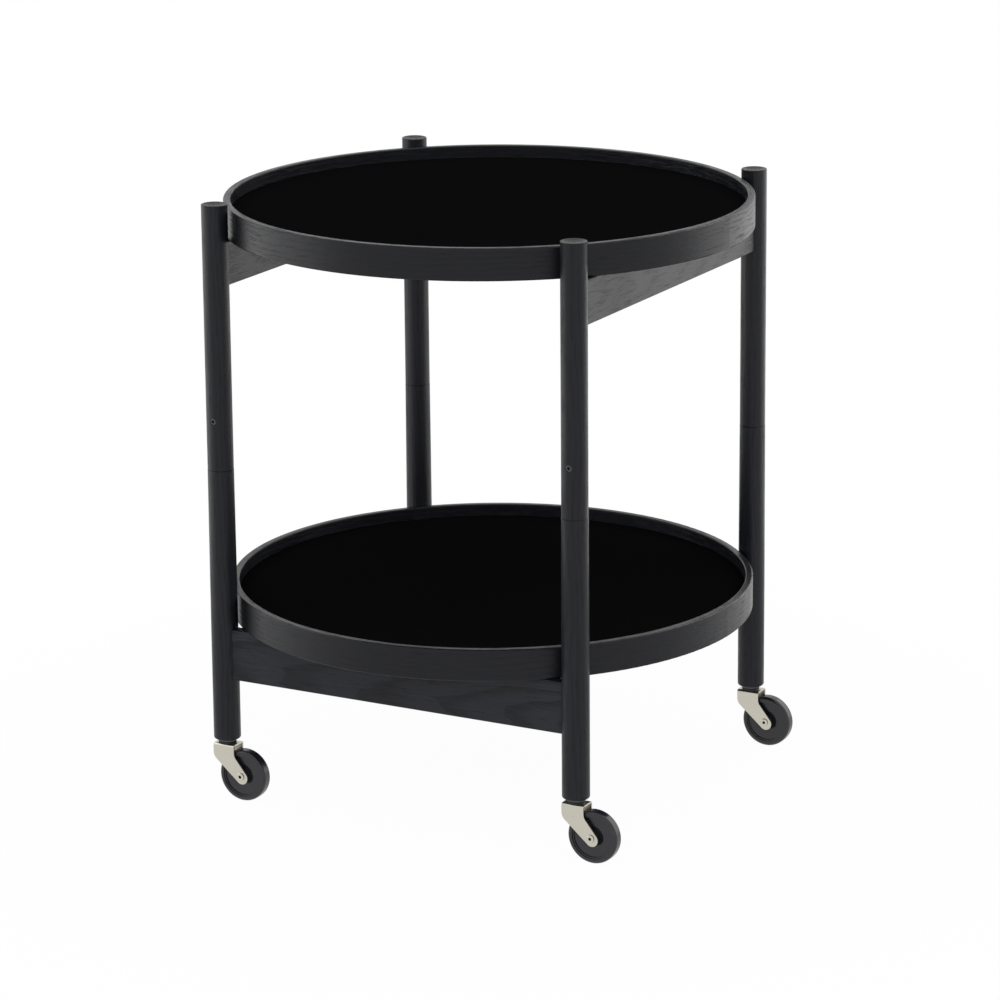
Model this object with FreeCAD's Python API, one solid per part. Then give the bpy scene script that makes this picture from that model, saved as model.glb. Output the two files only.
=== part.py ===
import FreeCAD, Part
import math
import os

# A rolling tray table: two round lift-off trays in a four-legged wooden frame on swivel casters.
# Millimetres, +Z up, origin on the floor under the middle of the trays.
# +X runs from the front left leg to the front right leg, +Y from the front to the back.

# Trays
tray_diameter = 500.0
rim_height = 30.0
rim_wall = 7.0
rim_edge_round = 1.2
board_thickness = 4.5
laminate_thickness = 0.75
laminate_edge_gap = 0.2
board_groove_depth = 3.0
upper_tray_height = 540.0
lower_tray_height = 169.0

# Legs, each split in two on a pivot
upper_leg_diameter = 24.6
lower_leg_diameter = 25.8
lower_leg_joint_diameter = 24.8
leg_joint_height = 324.0
leg_stub_above_rim = 7.0
leg_top_round = 0.8
leg_top_dish_depth = 1.7
leg_top_dish_edge = 1.5
leg_end_round = 2.2
leg_joint_chamfer = 0.35
tray_leg_clearance = 1.6

# Rails between the legs
rail_thickness = 12.0
upper_rail_height = 42.0
lower_rail_height = 49.5
rail_edge_round = 1.5
dowel_diameter = 8.0
dowel_length = 36.0
dowel_leg_depth = 14.0
dowel_height_shares = (0.27, 0.73)

# Pivots in the legs
pivot_pin_diameter = 8.0
pivot_pin_lower_depth = 50.0
pivot_pin_tail = 10.0
pivot_pin_end_gap = 1.0
pin_groove_width = 4.0
pin_groove_depth = 1.4
pin_groove_rise = 48.0
set_screw_diameter = 6.0
set_screw_sink = 0.7
set_screw_tip_gap = 0.3
set_screw_shoulder_gap = 1.0
hex_key_width = 3.0
hex_key_depth = 2.4

# Casters
wheel_diameter = 50.0
wheel_width = 12.0
wheel_shoulder_round = 3.0
wheel_rim_depth = 4.6
wheel_step_width = 1.4
wheel_step_sink = 0.9
wheel_disc_sink = 2.0
wheel_dish_width = 4.5
wheel_dish_sink = 0.9
hub_wall = 2.5
hub_overhang = 0.9
wheel_side_gap = 0.3
wheel_headroom = 3.4
caster_trail = 19.0
fork_sheet = 1.6
fork_inner_bend = 0.7
fork_back_reach = 10.5
fork_front_reach = 12.0
fork_back_drop = 13.0
fork_front_drop = 11.0
fork_tip_radius = 6.2
fork_tip_reach = 1.8
fork_corner_round = 9.0
axle_diameter = 5.0
sleeve_wall = 1.5
axle_head_overhang = 1.3
axle_head_height = 1.1
axle_hollow_diameter = 3.0
axle_hollow_depth = 3.2
stem_diameter = 8.0
stem_length = 29.0
stem_head_gap = 1.5
stem_head_height = 1.3
stem_end_chamfer = 1.0
thrust_ring_diameter = 17.0
thrust_ring_height = 2.6
thrust_ring_groove_width = 1.0
thrust_ring_groove_depth = 0.9
socket_diameter = 11.0
socket_flange_diameter = 18.5
socket_flange_height = 1.4
socket_end_gap = 0.6
socket_end_wall = 1.2

# Fits
running_clearance = 0.05
thrust_clearance = 0.1

# Places that follow from the sizes above
tray_radius = tray_diameter / 2
upper_leg_radius = upper_leg_diameter / 2
lower_leg_radius = lower_leg_diameter / 2
leg_circle_radius = tray_radius + tray_leg_clearance + max(upper_leg_radius, lower_leg_radius)
leg_offset = leg_circle_radius / math.sqrt(2)
leg_top = upper_tray_height + rim_height + leg_stub_above_rim
fork_inner_width = wheel_width + 2 * (hub_overhang + wheel_side_gap)
fork_outer_width = fork_inner_width + 2 * fork_sheet
axle_height = wheel_diameter / 2
fork_underside = wheel_diameter + wheel_headroom
fork_top = fork_underside + fork_sheet
thrust_ring_top = fork_top + thrust_ring_height
leg_end = thrust_ring_top + thrust_clearance + socket_flange_height
socket_top = fork_top + stem_length + socket_end_gap + socket_end_wall
pivot_pin_upper_depth = pin_groove_rise + pin_groove_width / 2 + pivot_pin_tail
set_screw_height = leg_joint_height + pin_groove_rise
groove_floor_radius = pivot_pin_diameter / 2 - pin_groove_depth
sleeve_diameter = axle_diameter + 2 * sleeve_wall

along_x = FreeCAD.Vector(1, 0, 0)
along_y = FreeCAD.Vector(0, 1, 0)
along_z = FreeCAD.Vector(0, 0, 1)
corners = {
    "front_left": (-1, -1),
    "front_right": (1, -1),
    "back_right": (1, 1),
    "back_left": (-1, 1),
}


def point(x, y, z):
    return FreeCAD.Vector(x, y, z)


def rod(diameter, length, base, axis=along_z):
    return Part.makeCylinder(diameter / 2, length, base, axis)


def turned(outline):
    # Turns a closed outline of (radius, height) points about the Z axis.
    loop = [point(radius, 0, height) for radius, height in outline]
    face = Part.Face(Part.makePolygon(loop + loop[:1]))
    return face.revolve(point(0, 0, 0), along_z, 360)


def circle_edges(shape, radius, height):
    # Finds the level circles of one radius at one height.
    found = []
    for edge in shape.Edges:
        curve = edge.Curve
        if not isinstance(curve, Part.Circle):
            continue
        if math.isclose(curve.Radius, radius) and math.isclose(curve.Center.z, height):
            found.append(edge)
    return found


def leg_place(corner):
    side, depth = corners[corner]
    return point(side * leg_offset, depth * leg_offset, 0)


def placed(shape, corner):
    # Copies a piece modelled on the Z axis to one leg's axis.
    copy = shape.copy()
    copy.translate(leg_place(corner))
    return copy


def save(shape, name):
    shape.exportStep("parts/" + name + ".step")


# Trays: a bent wooden rim, grooved round a board that is faced with laminate inside the rim
def tray_rim(base):
    inner_radius = tray_radius - rim_wall
    ring = rod(tray_diameter, rim_height, point(0, 0, base))
    ring = ring.cut(rod(2 * inner_radius, rim_height, point(0, 0, base)))
    groove_base = base + (rim_height - board_thickness) / 2
    groove_radius = inner_radius + board_groove_depth
    ring = ring.cut(rod(2 * groove_radius, board_thickness, point(0, 0, groove_base)))
    edges = []
    for radius in (tray_radius, inner_radius):
        for height in (base, base + rim_height):
            edges += circle_edges(ring, radius, height)
    return ring.makeFillet(rim_edge_round, edges)


def tray_layers(base):
    # The board with its two facings, from the bottom up.
    inner_radius = tray_radius - rim_wall
    facing_radius = inner_radius - laminate_edge_gap
    bottom = base + (rim_height - board_thickness) / 2 - laminate_thickness
    layers = {}
    for name, radius, thickness in (
        ("bottom_laminate", facing_radius, laminate_thickness),
        ("board", inner_radius + board_groove_depth, board_thickness),
        ("top_laminate", facing_radius, laminate_thickness),
    ):
        layers[name] = rod(2 * radius, thickness, point(0, 0, bottom))
        bottom += thickness
    return layers


def make_trays():
    for tray, base in (("upper_tray", upper_tray_height), ("lower_tray", lower_tray_height)):
        save(tray_rim(base), tray + "_rim")
        for name, layer in tray_layers(base).items():
            save(layer, tray + "_" + name)


# Pivots: a pin fixed in the lower leg half and free to turn in the upper one
def pivot_pin():
    base = leg_joint_height - pivot_pin_lower_depth
    pin = rod(pivot_pin_diameter, pivot_pin_lower_depth + pivot_pin_upper_depth, point(0, 0, base))
    groove_base = point(0, 0, set_screw_height - pin_groove_width / 2)
    collar = rod(pivot_pin_diameter, pin_groove_width, groove_base)
    core = rod(2 * groove_floor_radius, pin_groove_width, groove_base)
    return pin.cut(collar.cut(core))


def set_screw(depth):
    # A headless screw, driven from the outside until its tip stands in the pin's groove.
    axis = along_y * depth
    mouth = upper_leg_radius - set_screw_sink
    tip = groove_floor_radius + set_screw_tip_gap
    shoulder = pivot_pin_diameter / 2 + set_screw_shoulder_gap
    body = rod(set_screw_diameter, mouth - shoulder, axis * shoulder, axis)
    tip_diameter = pin_groove_width - 2 * set_screw_tip_gap
    body = body.fuse(rod(tip_diameter, shoulder - tip, axis * tip, axis))
    corner_radius = hex_key_width / math.sqrt(3)
    loop = []
    for step in range(6):
        turn = math.radians(60 * step)
        loop.append(point(corner_radius * math.cos(turn), depth * mouth, corner_radius * math.sin(turn)))
    key = Part.Face(Part.makePolygon(loop + loop[:1])).extrude(axis * -hex_key_depth)
    screw = body.cut(key)
    screw.translate(point(0, 0, set_screw_height))
    return screw


def set_screw_hole(depth):
    # From the leg's axis out, so that the screw's tip is clear all the way to the pin.
    diameter = set_screw_diameter + 2 * running_clearance
    return rod(diameter, upper_leg_radius, point(0, 0, set_screw_height), along_y * depth)


# Rails: level bars whose ends are hollowed to fit the legs, held by dowels
rail_sets = {
    "upper_rail_left": ("y", -1),
    "upper_rail_right": ("y", 1),
    "lower_rail_front": ("x", -1),
    "lower_rail_back": ("x", 1),
}


def rail_sizes(direction):
    # Height, foot height and leg diameter for the rails that run one way.
    if direction == "y":
        return upper_rail_height, upper_tray_height - upper_rail_height, upper_leg_diameter
    return lower_rail_height, lower_tray_height - lower_rail_height, lower_leg_diameter


def rail_axes(direction):
    if direction == "y":
        return along_y, along_x
    return along_x, along_y


def rail_dowels(name):
    direction, side = rail_sets[name]
    height, foot, leg_diameter = rail_sizes(direction)
    run, across = rail_axes(direction)
    dowels = []
    for end in (-1, 1):
        start = leg_offset - leg_diameter / 2 + dowel_leg_depth
        for share in dowel_height_shares:
            base = run * (end * start) + across * (side * leg_offset) + along_z * (foot + share * height)
            dowels.append(rod(dowel_diameter, dowel_length, base, run * -end))
    return dowels


def rail(name):
    direction, side = rail_sets[name]
    height, foot, leg_diameter = rail_sizes(direction)
    run, across = rail_axes(direction)
    corner = run * -leg_offset + across * (side * leg_offset - rail_thickness / 2) + along_z * foot
    sizes = run * (2 * leg_offset) + across * rail_thickness + along_z * height
    bar = Part.makeBox(sizes.x, sizes.y, sizes.z, corner)
    long_edges = [edge for edge in bar.Edges if math.isclose(edge.Length, 2 * leg_offset)]
    bar = bar.makeFillet(rail_edge_round, long_edges)
    for end in (-1, 1):
        base = run * (end * leg_offset) + across * (side * leg_offset) + along_z * foot
        bar = bar.cut(rod(leg_diameter, height, base))
    for dowel in rail_dowels(name):
        bar = bar.cut(dowel)
    return bar


def make_rails():
    dowels = {"upper": [], "lower": []}
    for name in rail_sets:
        save(rail(name), name)
        dowels[name.split("_")[0]] += rail_dowels(name)
    for level, group in dowels.items():
        save(Part.makeCompound(group), level + "_rail_dowels")
    return dowels["upper"], dowels["lower"]


# Legs: round, dished at the top, with the caster's socket in the lower end
def upper_leg(corner, dowels):
    depth = corners[corner][1]
    leg = rod(upper_leg_diameter, leg_top - leg_joint_height, point(0, 0, leg_joint_height))
    leg = leg.makeFillet(leg_top_round, circle_edges(leg, upper_leg_radius, leg_top))
    leg = leg.makeChamfer(leg_joint_chamfer, circle_edges(leg, upper_leg_radius, leg_joint_height))
    dish_radius = upper_leg_radius - leg_top_dish_edge
    ball_radius = (dish_radius**2 + leg_top_dish_depth**2) / (2 * leg_top_dish_depth)
    leg = leg.cut(Part.makeSphere(ball_radius, point(0, 0, leg_top - leg_top_dish_depth + ball_radius)))
    bore = rod(
        pivot_pin_diameter + 2 * running_clearance,
        pivot_pin_upper_depth + pivot_pin_end_gap,
        point(0, 0, leg_joint_height),
    )
    leg = leg.cut(bore).cut(set_screw_hole(depth))
    leg = placed(leg, corner)
    for dowel in dowels:
        leg = leg.cut(dowel)
    return leg


def caster_socket():
    bore_radius = stem_diameter / 2 + running_clearance
    bore_top = socket_top - socket_end_wall
    flange_base = leg_end - socket_flange_height
    return turned(
        [
            (bore_radius, flange_base),
            (socket_flange_diameter / 2, flange_base),
            (socket_flange_diameter / 2, leg_end),
            (socket_diameter / 2, leg_end),
            (socket_diameter / 2, socket_top),
            (0, socket_top),
            (0, bore_top),
            (bore_radius, bore_top),
        ]
    )


def lower_leg(corner, dowels):
    taper_base = lower_tray_height
    leg = rod(lower_leg_diameter, taper_base - leg_end, point(0, 0, leg_end))
    leg = leg.makeFillet(leg_end_round, circle_edges(leg, lower_leg_radius, leg_end))
    taper = Part.makeCone(
        lower_leg_radius,
        lower_leg_joint_diameter / 2,
        leg_joint_height - taper_base,
        point(0, 0, taper_base),
    )
    joint_edges = circle_edges(taper, lower_leg_joint_diameter / 2, leg_joint_height)
    leg = leg.fuse(taper.makeChamfer(leg_joint_chamfer, joint_edges))
    leg = leg.cut(pivot_pin())
    leg = leg.cut(rod(socket_diameter, socket_top - leg_end, point(0, 0, leg_end)))
    leg = placed(leg, corner)
    for dowel in dowels:
        leg = leg.cut(dowel)
    return leg


def make_legs(upper_dowels, lower_dowels):
    screws = []
    for corner in corners:
        save(upper_leg(corner, upper_dowels), "upper_leg_" + corner)
        save(lower_leg(corner, lower_dowels), "lower_leg_" + corner)
        save(placed(pivot_pin(), corner), "pivot_pin_" + corner)
        screws.append(placed(set_screw(corners[corner][1]), corner))
    save(Part.makeCompound(screws), "pivot_set_screws")


# Casters: a bent sheet fork on a stem that turns in the socket, with a wheel trailing behind
def fork_outline():
    # The side view of the fork: a square head that sweeps back to a round tip at the axle.
    axle = point(caster_trail, 0, axle_height)
    back_bend = point(-fork_back_reach, 0, fork_top - fork_back_drop)
    front_bend = point(fork_front_reach, 0, fork_top - fork_front_drop)
    arm = axle - (back_bend + front_bend) / 2
    sweep = arm / arm.Length
    tip = axle + sweep * fork_tip_reach
    chin = tip + sweep * fork_tip_radius
    back_touch = tangent_point(tip, back_bend, 1)
    front_touch = tangent_point(tip, front_bend, -1)
    back_corner = point(-fork_back_reach, 0, fork_top)
    front_corner = point(fork_front_reach, 0, fork_top)
    edges = [
        Part.LineSegment(back_touch, back_bend),
        Part.LineSegment(back_bend, back_corner),
        Part.LineSegment(back_corner, front_corner),
        Part.LineSegment(front_corner, front_bend),
        Part.LineSegment(front_bend, front_touch),
        Part.Arc(front_touch, chin, back_touch),
    ]
    return Part.Face(Part.Wire([edge.toShape() for edge in edges]))


def tangent_point(centre, outside, side):
    # Where a line from an outside point touches the tip's circle.
    reach = outside - centre
    turn = math.atan2(reach.z, reach.x) + side * math.acos(fork_tip_radius / reach.Length)
    return centre + point(math.cos(turn), 0, math.sin(turn)) * fork_tip_radius


def fork_block(width, height, bend_radius):
    # A long block over the wheel with its two upper edges rounded.
    reach = fork_back_reach + caster_trail + fork_tip_reach + fork_tip_radius
    block = Part.makeBox(reach, width, height, point(-fork_back_reach, -width / 2, 0))
    bends = []
    for edge in block.Edges:
        middle = edge.CenterOfMass
        if math.isclose(middle.z, height) and math.isclose(abs(middle.y), width / 2):
            bends.append(edge)
    return block.makeFillet(bend_radius, bends)


def fork():
    half = fork_outer_width / 2
    channel = fork_block(fork_outer_width, fork_top, fork_inner_bend + fork_sheet)
    channel = channel.cut(fork_block(fork_inner_width, fork_underside, fork_inner_bend))
    side = fork_outline()
    side.translate(along_y * -half)
    blank = side.extrude(along_y * fork_outer_width)
    knuckles = []
    for edge in blank.Edges:
        middle = edge.CenterOfMass
        for reach, drop in ((-fork_back_reach, fork_back_drop), (fork_front_reach, fork_front_drop)):
            if math.isclose(middle.x, reach) and math.isclose(middle.z, fork_top - drop):
                knuckles.append(edge)
    blank = blank.makeFillet(fork_corner_round, knuckles)
    body = channel.common(blank)
    body = body.cut(rod(stem_diameter, fork_sheet, point(0, 0, fork_underside)))
    hole_base = point(caster_trail, -half, axle_height)
    return body.cut(rod(axle_diameter, fork_outer_width, hole_base, along_y))


def stem():
    pin = rod(stem_diameter, fork_sheet + stem_length, point(0, 0, fork_underside))
    pin = pin.makeChamfer(stem_end_chamfer, circle_edges(pin, stem_diameter / 2, fork_top + stem_length))
    head_base = fork_underside - stem_head_height
    head_diameter = fork_inner_width - 2 * stem_head_gap
    head = rod(head_diameter, stem_head_height, point(0, 0, head_base))
    head = head.makeChamfer(stem_head_height / 2, circle_edges(head, head_diameter / 2, head_base))
    return pin.fuse(head).removeSplitter()


def thrust_ring():
    ring = rod(thrust_ring_diameter, thrust_ring_height, point(0, 0, fork_top))
    groove_base = point(0, 0, fork_top + (thrust_ring_height - thrust_ring_groove_width) / 2)
    band = rod(thrust_ring_diameter, thrust_ring_groove_width, groove_base)
    core = rod(thrust_ring_diameter - 2 * thrust_ring_groove_depth, thrust_ring_groove_width, groove_base)
    ring = ring.cut(band.cut(core))
    return ring.cut(rod(stem_diameter, thrust_ring_height, point(0, 0, fork_top)))


def on_axle(shape):
    # Lays a piece that was turned about Z along the wheel's axle.
    shape.rotate(point(0, 0, 0), along_x, -90)
    shape.translate(point(caster_trail, 0, axle_height))
    return shape


def wheel():
    half = wheel_width / 2
    radius = wheel_diameter / 2
    rim_inner = radius - wheel_rim_depth
    step_inner = rim_inner - wheel_step_width
    hub_radius = sleeve_diameter / 2 + hub_wall
    bore_radius = sleeve_diameter / 2 + running_clearance
    side = [
        (radius, half),
        (rim_inner, half),
        (rim_inner, half - wheel_step_sink),
        (step_inner, half - wheel_step_sink),
        (step_inner, half - wheel_disc_sink),
        (hub_radius + wheel_dish_width, half - wheel_disc_sink),
        (hub_radius, half - wheel_disc_sink - wheel_dish_sink),
        (hub_radius, half + hub_overhang),
        (bore_radius, half + hub_overhang),
    ]
    other_side = [(place, -height) for place, height in reversed(side)]
    disc = turned(side + other_side)
    edges = circle_edges(disc, radius, half) + circle_edges(disc, radius, -half)
    return on_axle(disc.makeFillet(wheel_shoulder_round, edges))


def axle_sleeve():
    half = fork_inner_width / 2
    sleeve = rod(sleeve_diameter, fork_inner_width, point(0, 0, -half))
    return on_axle(sleeve.cut(rod(axle_diameter, fork_inner_width, point(0, 0, -half))))


def axle_rivet():
    half = fork_outer_width / 2
    rivet = rod(axle_diameter, fork_outer_width, point(0, 0, -half))
    head_diameter = axle_diameter + 2 * axle_head_overhang
    for end in (-1, 1):
        head = rod(head_diameter, axle_head_height, along_z * (end * half), along_z * end)
        crown = circle_edges(head, head_diameter / 2, end * (half + axle_head_height))
        rivet = rivet.fuse(head.makeFillet(axle_head_height / 2, crown))
        mouth = along_z * (end * (half + axle_head_height))
        rivet = rivet.cut(rod(axle_hollow_diameter, axle_hollow_depth, mouth, along_z * -end))
    return on_axle(rivet.removeSplitter())


def make_casters():
    pieces = {
        "caster_socket": caster_socket(),
        "caster_stem": stem(),
        "caster_thrust_ring": thrust_ring(),
        "caster_fork": fork(),
        "caster_axle": axle_rivet(),
        "caster_sleeve": axle_sleeve(),
        "caster_wheel": wheel(),
    }
    for corner in corners:
        for name, piece in pieces.items():
            save(placed(piece, corner), name + "_" + corner)


os.makedirs("parts", exist_ok=True)
make_trays()
make_legs(*make_rails())
make_casters()
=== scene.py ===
import math

import bmesh
import bpy
from mathutils import Matrix, Vector

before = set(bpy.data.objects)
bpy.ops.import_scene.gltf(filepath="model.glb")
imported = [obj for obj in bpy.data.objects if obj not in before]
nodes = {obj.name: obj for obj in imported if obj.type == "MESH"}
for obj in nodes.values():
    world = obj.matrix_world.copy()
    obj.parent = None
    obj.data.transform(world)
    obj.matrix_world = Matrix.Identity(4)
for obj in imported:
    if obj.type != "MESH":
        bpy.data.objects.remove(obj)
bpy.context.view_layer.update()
print("frame loaded,", len(nodes), "nodes")


# small helpers for node trees

def newTree(name):
    mat = bpy.data.materials.new(name)
    mat.use_nodes = True
    mat.node_tree.nodes.clear()
    return mat, mat.node_tree, mat.node_tree.nodes.new("ShaderNodeOutputMaterial")


def newFinish(name):
    mat, tree, out = newTree(name)
    bsdf = tree.nodes.new("ShaderNodeBsdfPrincipled")
    tree.links.new(bsdf.outputs["BSDF"], out.inputs["Surface"])
    return mat, tree, bsdf


def newGroup(name, inputs, outputs):
    group = bpy.data.node_groups.new(name, "ShaderNodeTree")
    for label, kind, value in inputs:
        socket = group.interface.new_socket(label, in_out="INPUT", socket_type=kind)
        if value is not None:
            socket.default_value = value
    for label in outputs:
        group.interface.new_socket(label, in_out="OUTPUT", socket_type="NodeSocketFloat")
    return group, group.nodes.new("NodeGroupInput"), group.nodes.new("NodeGroupOutput")


def placeGroup(tree, group, **values):
    node = tree.nodes.new("ShaderNodeGroup")
    node.node_tree = group
    for label, value in values.items():
        node.inputs[label].default_value = value
    return node


def addMath(tree, operation, first, second=None, clamp=False):
    node = tree.nodes.new("ShaderNodeMath")
    node.operation = operation
    node.use_clamp = clamp
    for socket, value in zip(node.inputs, (first, second)):
        if isinstance(value, (int, float)):
            socket.default_value = value
        elif value is not None:
            tree.links.new(value, socket)
    return node.outputs[0]


def addRange(tree, value, low, high, toLow=0.0, toHigh=1.0):
    node = tree.nodes.new("ShaderNodeMapRange")
    node.interpolation_type = "SMOOTHSTEP"
    tree.links.new(value, node.inputs["Value"])
    for label, number in (("From Min", low), ("From Max", high), ("To Min", toLow), ("To Max", toHigh)):
        node.inputs[label].default_value = number
    return node.outputs["Result"]


def addNoise(tree, vector, detail=3.0, roughness=0.55):
    node = tree.nodes.new("ShaderNodeTexNoise")
    node.inputs["Scale"].default_value = 1.0
    node.inputs["Detail"].default_value = detail
    node.inputs["Roughness"].default_value = roughness
    tree.links.new(vector, node.inputs["Vector"])
    return node.outputs["Fac"]


def addScale(tree, vector, scale):
    node = tree.nodes.new("ShaderNodeVectorMath")
    node.operation = "MULTIPLY"
    tree.links.new(vector, node.inputs[0])
    node.inputs[1].default_value = scale
    return node.outputs[0]


def splitVector(tree, vector):
    node = tree.nodes.new("ShaderNodeSeparateXYZ")
    tree.links.new(vector, node.inputs[0])
    return node.outputs


def addSquares(tree, first, second):
    squares = (addMath(tree, "MULTIPLY", value, value) for value in (first, second))
    return addMath(tree, "SQRT", addMath(tree, "ADD", *squares))


def addMix(tree, fac, first, second):
    node = tree.nodes.new("ShaderNodeMix")
    node.data_type = "RGBA"
    tree.links.new(fac, node.inputs["Factor"])
    for socket, value in ((node.inputs["A"], first), (node.inputs["B"], second)):
        if isinstance(value, tuple):
            socket.default_value = (*value, 1.0)
        else:
            tree.links.new(value, socket)
    return node.outputs["Result"]


def addBlend(tree, fac, first, second):
    node = tree.nodes.new("ShaderNodeMixShader")
    for socket, value in zip(node.inputs, (fac, first, second)):
        tree.links.new(value, socket)
    return node.outputs[0]


def addBump(tree, height, distance):
    node = tree.nodes.new("ShaderNodeBump")
    node.inputs["Distance"].default_value = distance
    node.inputs["Strength"].default_value = 1.0
    tree.links.new(height, node.inputs["Height"])
    return node.outputs["Normal"]


def objectVector(tree):
    return tree.nodes.new("ShaderNodeTexCoord").outputs["Object"]


# open-pored grain under a thin stain; pairs of scales are waves per metre along the fibres and across them
grain = {
    "wander": (7.0, 28.0),
    "wanderReach": 0.017,
    "earlyRise": (0.35, 0.85),
    "earlyEnd": (0.93, 1.0),
    "earlyMean": 0.35,
    "dashes": (62.0, 1350.0),
    "dashGate": 0.13,
    "poreEdge": (0.58, 0.72),
    "fibres": (14.0, 800.0),
    "fibreTone": 0.9,
    "fibreHeight": 0.5,
    "toneMean": 0.11,
}


# Along holds the place along the fibres, Across the place over them, Growth the distance from the pith
def makeGrainGroup():
    group, src, dst = newGroup(
        "openGrain",
        [("Along", "NodeSocketVector", None), ("Across", "NodeSocketVector", None),
         ("Growth", "NodeSocketFloat", 0.0), ("Ring Spacing", "NodeSocketFloat", 0.006),
         ("Figure", "NodeSocketFloat", 0.4)],
        ("Tone", "Pores", "Height"),
    )

    def stretched(along, across):
        node = group.nodes.new("ShaderNodeVectorMath")
        node.operation = "MULTIPLY_ADD"
        group.links.new(src.outputs["Along"], node.inputs[0])
        node.inputs[1].default_value = (along, along, along)
        group.links.new(addScale(group, src.outputs["Across"], (across, across, across)), node.inputs[2])
        return node.outputs[0]

    def times(value, factor):
        return addMath(group, "MULTIPLY", value, factor)

    wander = addNoise(group, stretched(*grain["wander"]))
    growth = addMath(group, "ADD", src.outputs["Growth"], times(wander, grain["wanderReach"]))
    ring = addMath(group, "FRACT", addMath(group, "DIVIDE", growth, src.outputs["Ring Spacing"]))
    rising = addRange(group, ring, *grain["earlyRise"])
    early = times(rising, addRange(group, ring, *grain["earlyEnd"], 1.0, 0.0))
    # pores are short dashes, thickest in the early wood of each ring
    dashes = addNoise(group, stretched(*grain["dashes"]), 1.0, 0.5)
    dashes = addMath(group, "ADD", dashes, times(early, grain["dashGate"]))
    pores = addRange(group, dashes, *grain["poreEdge"])
    fibres = addNoise(group, stretched(*grain["fibres"]), 3.0, 0.6)
    bands = times(addMath(group, "SUBTRACT", grain["earlyMean"], early), src.outputs["Figure"])
    tone = addMath(group, "ADD", bands, times(fibres, grain["fibreTone"]))
    group.links.new(addMath(group, "ADD", tone, grain["toneMean"], clamp=True), dst.inputs["Tone"])
    group.links.new(pores, dst.inputs["Pores"])
    height = addMath(group, "SUBTRACT", times(fibres, grain["fibreHeight"]), pores)
    group.links.new(height, dst.inputs["Height"])
    return group


# slow uneven patches from handling and wiping, and a fine speckle, both as waves per metre
def makeHandledGroup():
    group, src, dst = newGroup(
        "handledFilm",
        [("Vector", "NodeSocketVector", None), ("Patch Scale", "NodeSocketFloat", 14.0),
         ("Speckle Scale", "NodeSocketFloat", 900.0)],
        ("Patches", "Speckle"),
    )
    for label, scale, detail in (("Patches", "Patch Scale", 3.0), ("Speckle", "Speckle Scale", 1.0)):
        node = group.nodes.new("ShaderNodeTexNoise")
        node.inputs["Detail"].default_value = detail
        group.links.new(src.outputs["Vector"], node.inputs["Vector"])
        group.links.new(src.outputs[scale], node.inputs["Scale"])
        group.links.new(node.outputs["Fac"], dst.inputs[label])
    return group


grainGroup = makeGrainGroup()
handledGroup = makeHandledGroup()
# noise seldom leaves this span
noiseSpan = (0.3, 0.7)


def addFilm(tree, patchScale, speckleScale=900.0):
    film = placeGroup(tree, handledGroup, **{"Patch Scale": patchScale, "Speckle Scale": speckleScale})
    tree.links.new(objectVector(tree), film.inputs["Vector"])
    return film.outputs


# black stained wood: what all pieces share, which a piece's own values can replace
stain = {
    "dark": (0.004, 0.0043, 0.006),
    "light": (0.0085, 0.0092, 0.012),
    "pore": (0.0025, 0.0027, 0.0038),
    "end": (0.003, 0.0032, 0.0042),
    "endFacing": (0.8, 0.95),
    "figure": 0.4,
    "patchScale": 9.0,
    "roughness": (0.3, 0.4),
    "poreDulling": 0.2,
    "poreDepth": 0.00008,
    "specular": 0.25,
}


# a straight piece cut from a tree whose pith lies beside it and leans a little
def straightGrain(tree, piece):
    place = objectVector(tree)
    parts = splitVector(tree, place)
    run, pith = piece["run"], piece["pith"]
    along = addScale(tree, place, run)
    across = addScale(tree, place, tuple(1 - share for share in run))
    axis = run.index(1)
    slope = addMath(tree, "MULTIPLY", parts[axis], piece["lean"])
    first, second = (parts[index] for index in range(3) if index != axis)
    first = addMath(tree, "ADD", addMath(tree, "SUBTRACT", first, pith[0]), slope)
    return along, across, addSquares(tree, first, addMath(tree, "SUBTRACT", second, pith[1]))


# the fibres of a bent rim follow its curve, so the plan is along them and height and radius are across
def bentGrain(tree, piece):
    place = objectVector(tree)
    parts = splitVector(tree, place)
    radius = addSquares(tree, parts["X"], parts["Y"])
    height = addMath(tree, "ADD", parts["Z"], addMath(tree, "MULTIPLY", radius, piece["radiusShare"]))
    join = tree.nodes.new("ShaderNodeCombineXYZ")
    tree.links.new(height, join.inputs["Z"])
    return addScale(tree, place, (1, 1, 0)), join.outputs[0], height


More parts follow.
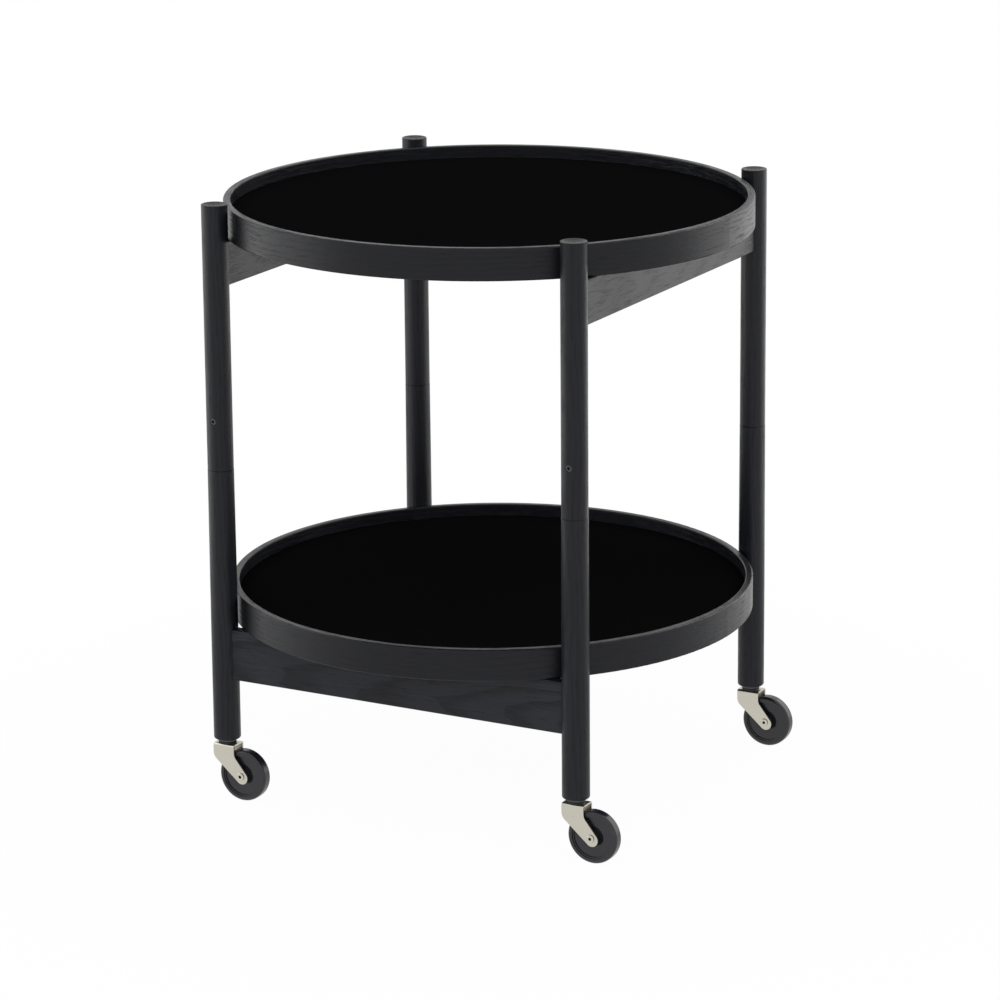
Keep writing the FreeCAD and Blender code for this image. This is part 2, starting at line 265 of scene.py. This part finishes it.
def makeStain(name, piece, grainOf, endGrain=False):
    mat, tree, bsdf = newFinish(name)
    wood = {**stain, **piece}
    openness = wood["openness"]
    marks = placeGroup(tree, grainGroup, **{"Ring Spacing": wood["ringSpacing"], "Figure": wood["figure"]})
    for label, value in zip(("Along", "Across", "Growth"), grainOf(tree, piece)):
        tree.links.new(value, marks.inputs[label])
    pores = marks.outputs["Pores"]
    body = addMix(tree, marks.outputs["Tone"], wood["dark"], wood["light"])
    body = addMix(tree, addMath(tree, "MULTIPLY", pores, openness), body, wood["pore"])
    if endGrain:
        # where the faces point up, on the turned tops, the colour is darker than on the sides
        facing = splitVector(tree, tree.nodes.new("ShaderNodeNewGeometry").outputs["Normal"])
        body = addMix(tree, addRange(tree, facing["Z"], *wood["endFacing"]), body, wood["end"])
    tree.links.new(body, bsdf.inputs["Base Color"])
    patches = addFilm(tree, wood["patchScale"])["Patches"]
    gloss = addRange(tree, patches, *noiseSpan, *wood["roughness"])
    dulling = addMath(tree, "MULTIPLY", pores, wood["poreDulling"] * openness)
    tree.links.new(addMath(tree, "ADD", gloss, dulling), bsdf.inputs["Roughness"])
    relief = addBump(tree, marks.outputs["Height"], wood["poreDepth"] * openness)
    tree.links.new(relief, bsdf.inputs["Normal"])
    bsdf.inputs["Specular IOR Level"].default_value = wood["specular"]
    return mat


leg = {"run": (0, 0, 1), "lean": 0.03, "pith": (0.6, 0.45), "ringSpacing": 0.0045, "openness": 0.8}
legStain = makeStain("legStain", leg, straightGrain, endGrain=True)
sideRail = {"run": (0, 1, 0), "lean": 0.11, "pith": (0.17, 0.519), "ringSpacing": 0.006, "openness": 0.55}
sideRailStain = makeStain("sideRailStain", sideRail, straightGrain)
# the front rail shows a faint broad figure
frontRail = {
    "run": (1, 0, 0), "lean": 0.11, "pith": (-0.155, 0.13), "ringSpacing": 0.0085, "openness": 0.8,
    "light": (0.016, 0.017, 0.022), "figure": 0.6,
}
frontRailStain = makeStain("frontRailStain", frontRail, straightGrain)
rim = {"radiusShare": 0.7, "ringSpacing": 0.005, "openness": 0.85, "light": (0.005, 0.0054, 0.0074)}
rimStain = makeStain("rimStain", rim, bentGrain)
print("stained wood ready")


laminate = {
    "color": (0.0034, 0.0034, 0.0034),
    "worn": (0.0043, 0.0043, 0.0043),
    "patchScale": 5.0,
    "roughness": 0.5,
    "specular": 0.0,
    "gritScale": 1600.0,
    "gritDepth": 0.00003,
}


def makeLaminate():
    mat, tree, bsdf = newFinish("laminate")
    film = addFilm(tree, laminate["patchScale"], laminate["gritScale"])
    body = addMix(tree, film["Patches"], laminate["color"], laminate["worn"])
    tree.links.new(body, bsdf.inputs["Base Color"])
    tree.links.new(addBump(tree, film["Speckle"], laminate["gritDepth"]), bsdf.inputs["Normal"])
    bsdf.inputs["Roughness"].default_value = laminate["roughness"]
    bsdf.inputs["Specular IOR Level"].default_value = laminate["specular"]
    return mat


nickel = {"color": (0.58, 0.555, 0.48), "shade": (0.53, 0.505, 0.435)}
steel = {"color": (0.42, 0.42, 0.43), "shade": (0.33, 0.33, 0.34)}
darkSteel = {"color": (0.1, 0.1, 0.105), "shade": (0.07, 0.07, 0.075)}
metal = {
    "patchScale": 60.0,
    "lineScale": (60.0, 60.0, 1500.0),
    "lineDepth": 0.000012,
    "roughness": (0.22, 0.3),
    # painted shade: near-black colour for the rivet's bore walls, and the facing span that masks them
    "bore": (0.02, 0.019, 0.017),
    "boreFacing": (0.1, 0.3),
}


# rolled, drawn or plated metal: faint lines under a soft shine
def makeMetal(name, color, shade, paintBoreShade=False):
    mat, tree, bsdf = newFinish(name)
    body = addMix(tree, addFilm(tree, metal["patchScale"])["Patches"], color, shade)
    if paintBoreShade:
        # painted shade: inside the rivet's hollow ends, where the wall faces away from the axle's line, the
        # colour turns near-black to stand in for the shade there
        facing = splitVector(tree, tree.nodes.new("ShaderNodeTexCoord").outputs["Normal"])
        turned = addMath(tree, "ABSOLUTE", facing["Y"])
        body = addMix(tree, addRange(tree, turned, *metal["boreFacing"], 1.0, 0.0), body, metal["bore"])
    tree.links.new(body, bsdf.inputs["Base Color"])
    bsdf.inputs["Metallic"].default_value = 1.0
    lines = addNoise(tree, addScale(tree, objectVector(tree), metal["lineScale"]))
    tree.links.new(addRange(tree, lines, *noiseSpan, *metal["roughness"]), bsdf.inputs["Roughness"])
    tree.links.new(addBump(tree, lines, metal["lineDepth"]), bsdf.inputs["Normal"])
    return mat


wheel = {"color": (0.01, 0.0102, 0.0124), "scuff": (0.018, 0.0185, 0.022), "roughness": (0.2, 0.3)}
thrustRing = {"color": (0.006, 0.006, 0.0065), "scuff": (0.012, 0.012, 0.013), "roughness": (0.3, 0.45)}
plastic = {"patchScale": 90.0, "scuffEdge": (0.58, 0.75), "gritScale": 2600.0, "gritDepth": 0.00002}


def makePlastic(name, color, scuff, roughness):
    mat, tree, bsdf = newFinish(name)
    film = addFilm(tree, plastic["patchScale"], plastic["gritScale"])
    marks = addRange(tree, film["Patches"], *plastic["scuffEdge"])
    tree.links.new(addMix(tree, marks, color, scuff), bsdf.inputs["Base Color"])
    tree.links.new(addRange(tree, film["Patches"], *noiseSpan, *roughness), bsdf.inputs["Roughness"])
    tree.links.new(addBump(tree, film["Speckle"], plastic["gritDepth"]), bsdf.inputs["Normal"])
    return mat


board = {"color": (0.36, 0.25, 0.15), "fleck": (0.25, 0.165, 0.095)}
dowel = {"color": (0.52, 0.36, 0.21), "fleck": (0.44, 0.3, 0.17)}
rawWood = {"patchScale": 260.0, "roughness": 0.7}


def makeRawWood(name, color, fleck):
    mat, tree, bsdf = newFinish(name)
    patches = addFilm(tree, rawWood["patchScale"])["Patches"]
    tree.links.new(addMix(tree, patches, color, fleck), bsdf.inputs["Base Color"])
    bsdf.inputs["Roughness"].default_value = rawWood["roughness"]
    return mat


laminateFace = makeLaminate()
forkNickel = makeMetal("forkNickel", **nickel)
# the rivet's bore walls take painted shade
rivetNickelBoreShade = makeMetal("rivetNickelBoreShade", **nickel, paintBoreShade=True)
pinSteel = makeMetal("pinSteel", **steel)
screwSteel = makeMetal("screwSteel", **darkSteel)
wheelBlack = makePlastic("wheelBlack", **wheel)
ringBlack = makePlastic("ringBlack", **thrustRing)
boardCore = makeRawWood("boardCore", **board)
dowelBeech = makeRawWood("dowelBeech", **dowel)
print("other finishes ready")


# which finish each CAD node takes, by the start of its name; the first one that fits counts
finishes = {
    "upper_leg": legStain,
    "lower_leg": legStain,
    "upper_rail_dowels": dowelBeech,
    "lower_rail_dowels": dowelBeech,
    "upper_rail": sideRailStain,
    "lower_rail": frontRailStain,
    "upper_tray_rim": rimStain,
    "lower_tray_rim": rimStain,
    "upper_tray_board": boardCore,
    "lower_tray_board": boardCore,
    "upper_tray": laminateFace,
    "lower_tray": laminateFace,
    "pivot_set_screws": screwSteel,
    "pivot_pin": pinSteel,
    "caster_wheel": wheelBlack,
    "caster_thrust_ring": ringBlack,
    "caster_socket": screwSteel,
    "caster_axle": rivetNickelBoreShade,
    "caster_stem": pinSteel,
    "caster_sleeve": pinSteel,
    "caster_fork": forkNickel,
}
for name, node in nodes.items():
    finish = next(value for start, value in finishes.items() if name.startswith(start))
    node.data.materials.clear()
    node.data.materials.append(finish)
print("finishes set")


# floor, light and camera

stage = {
    "floorSize": 30.0,
    "floorShade": (0.65, 0.65, 0.65),
    "floorWhite": 0.975,  # how much of the floor's look is plain white near the table, the rest shows shadow
    "fade": (0.3, 0.9),
}


# what the camera sees, straight, in a polished face or through a clear one, is plain white
def seenPlainly(tree):
    path = tree.nodes.new("ShaderNodeLightPath").outputs
    seen = addMath(tree, "ADD", path["Is Camera Ray"], path["Is Transmission Ray"], clamp=True)
    return addMath(tree, "ADD", seen, path["Is Glossy Ray"], clamp=True)


def makeFloor():
    mesh = bpy.data.meshes.new("floor")
    bm = bmesh.new()
    bmesh.ops.create_grid(bm, x_segments=1, y_segments=1, size=stage["floorSize"] / 2)
    bm.to_mesh(mesh)
    bm.free()
    floor = bpy.data.objects.new("floor", mesh)
    bpy.context.scene.collection.objects.link(floor)
    mat, tree, out = newTree("floorPaper")
    paper = tree.nodes.new("ShaderNodeBsdfDiffuse")
    paper.inputs["Color"].default_value = (*stage["floorShade"], 1)
    white = tree.nodes.new("ShaderNodeEmission")
    reach = tree.nodes.new("ShaderNodeVectorMath")
    reach.operation = "LENGTH"
    tree.links.new(objectVector(tree), reach.inputs[0])
    plain = addRange(tree, reach.outputs["Value"], *stage["fade"], stage["floorWhite"], 1.0)
    plain = addMath(tree, "MULTIPLY", seenPlainly(tree), plain)
    look = addBlend(tree, plain, paper.outputs[0], white.outputs[0])
    tree.links.new(look, out.inputs["Surface"])
    mesh.materials.append(mat)


view = {
    "azimuth": 28.71, "elevation": 14.09, "roll": -0.52, "distance": 3.986, "aimHeight": 0.3694,
    "lens": 150.72, "sensorWidth": 36, "shift": (0.009, -0.1), "clipEnd": 100,
}


# plain soft light, strongest from above the camera, and two upright softboxes that edge the dark wood
studio = {
    "tint": (0.955, 0.97, 1.08),
    "softLight": (0.36, 1.4),
    "softFade": (0.1, 0.9),
    "keyForward": 0.77,
    "keyUp": 0.64,
}
# a box's angle is counted from the camera's side, and a glow of 1 is as bright as the white background
boxSize = (1.0, 1.4)
rightBox = {"angle": 115, "distance": 1.0, "glow": 1.0}
leftBox = {"angle": -95, "distance": 1.0, "glow": 1.0}


def makeSky():
    world = bpy.data.worlds.new("studio")
    bpy.context.scene.world = world
    world.use_nodes = True
    tree = world.node_tree
    tree.nodes.clear()
    turn = math.radians(view["azimuth"])
    forward = studio["keyForward"]
    key = tree.nodes.new("ShaderNodeVectorMath")
    key.operation = "DOT_PRODUCT"
    key.inputs[1].default_value = (forward * math.sin(turn), -forward * math.cos(turn), studio["keyUp"])
    tree.links.new(tree.nodes.new("ShaderNodeTexCoord").outputs["Generated"], key.inputs[0])
    dim, bright = (tuple(end * share for share in studio["tint"]) for end in studio["softLight"])
    toKey = addRange(tree, key.outputs["Value"], *studio["softFade"])
    light = tree.nodes.new("ShaderNodeBackground")
    tree.links.new(addMix(tree, toKey, dim, bright), light.inputs["Color"])
    plainWhite = tree.nodes.new("ShaderNodeBackground")
    plainWhite.inputs["Color"].default_value = (1, 1, 1, 1)
    look = addBlend(tree, seenPlainly(tree), light.outputs[0], plainWhite.outputs[0])
    out = tree.nodes.new("ShaderNodeOutputWorld")
    tree.links.new(look, out.inputs["Surface"])


def makeBox(name, angle, distance, glow):
    width, height = boxSize
    lamp = bpy.data.lights.new(name, "AREA")
    lamp.shape = "RECTANGLE"
    lamp.size = width
    lamp.size_y = height
    # the power that gives the whole face this glow
    lamp.energy = glow * math.pi * width * height
    obj = bpy.data.objects.new(name, lamp)
    turn = math.radians(view["azimuth"] + angle)
    away = Vector((math.sin(turn), -math.cos(turn), 0))
    obj.location = away * distance + Vector((0, 0, height / 2))
    obj.rotation_euler = away.to_track_quat("Z", "Y").to_euler()
    obj.visible_camera = False
    bpy.context.scene.collection.objects.link(obj)


def makeCamera():
    turn, tilt, roll = (math.radians(view[key]) for key in ("azimuth", "elevation", "roll"))
    back = Vector((math.sin(turn) * math.cos(tilt), -math.cos(turn) * math.cos(tilt), math.sin(tilt)))
    side = Vector((math.cos(turn), math.sin(turn), 0))
    up = back.cross(side)
    right = side * math.cos(roll) + up * math.sin(roll)
    head = up * math.cos(roll) - side * math.sin(roll)
    camera = bpy.data.cameras.new("camera")
    camera.lens = view["lens"]
    camera.sensor_width = view["sensorWidth"]
    camera.shift_x, camera.shift_y = view["shift"]
    camera.clip_end = view["clipEnd"]
    obj = bpy.data.objects.new("camera", camera)
    obj.matrix_world = Matrix((right, head, back)).transposed().to_4x4()
    obj.location = Vector((0, 0, view["aimHeight"])) + back * view["distance"]
    bpy.context.scene.collection.objects.link(obj)
    bpy.context.scene.camera = obj


makeFloor()
makeSky()
makeBox("rightBox", **rightBox)
makeBox("leftBox", **leftBox)
makeCamera()
bpy.context.scene.view_settings.view_transform = "Standard"
print("stage, light and camera set")
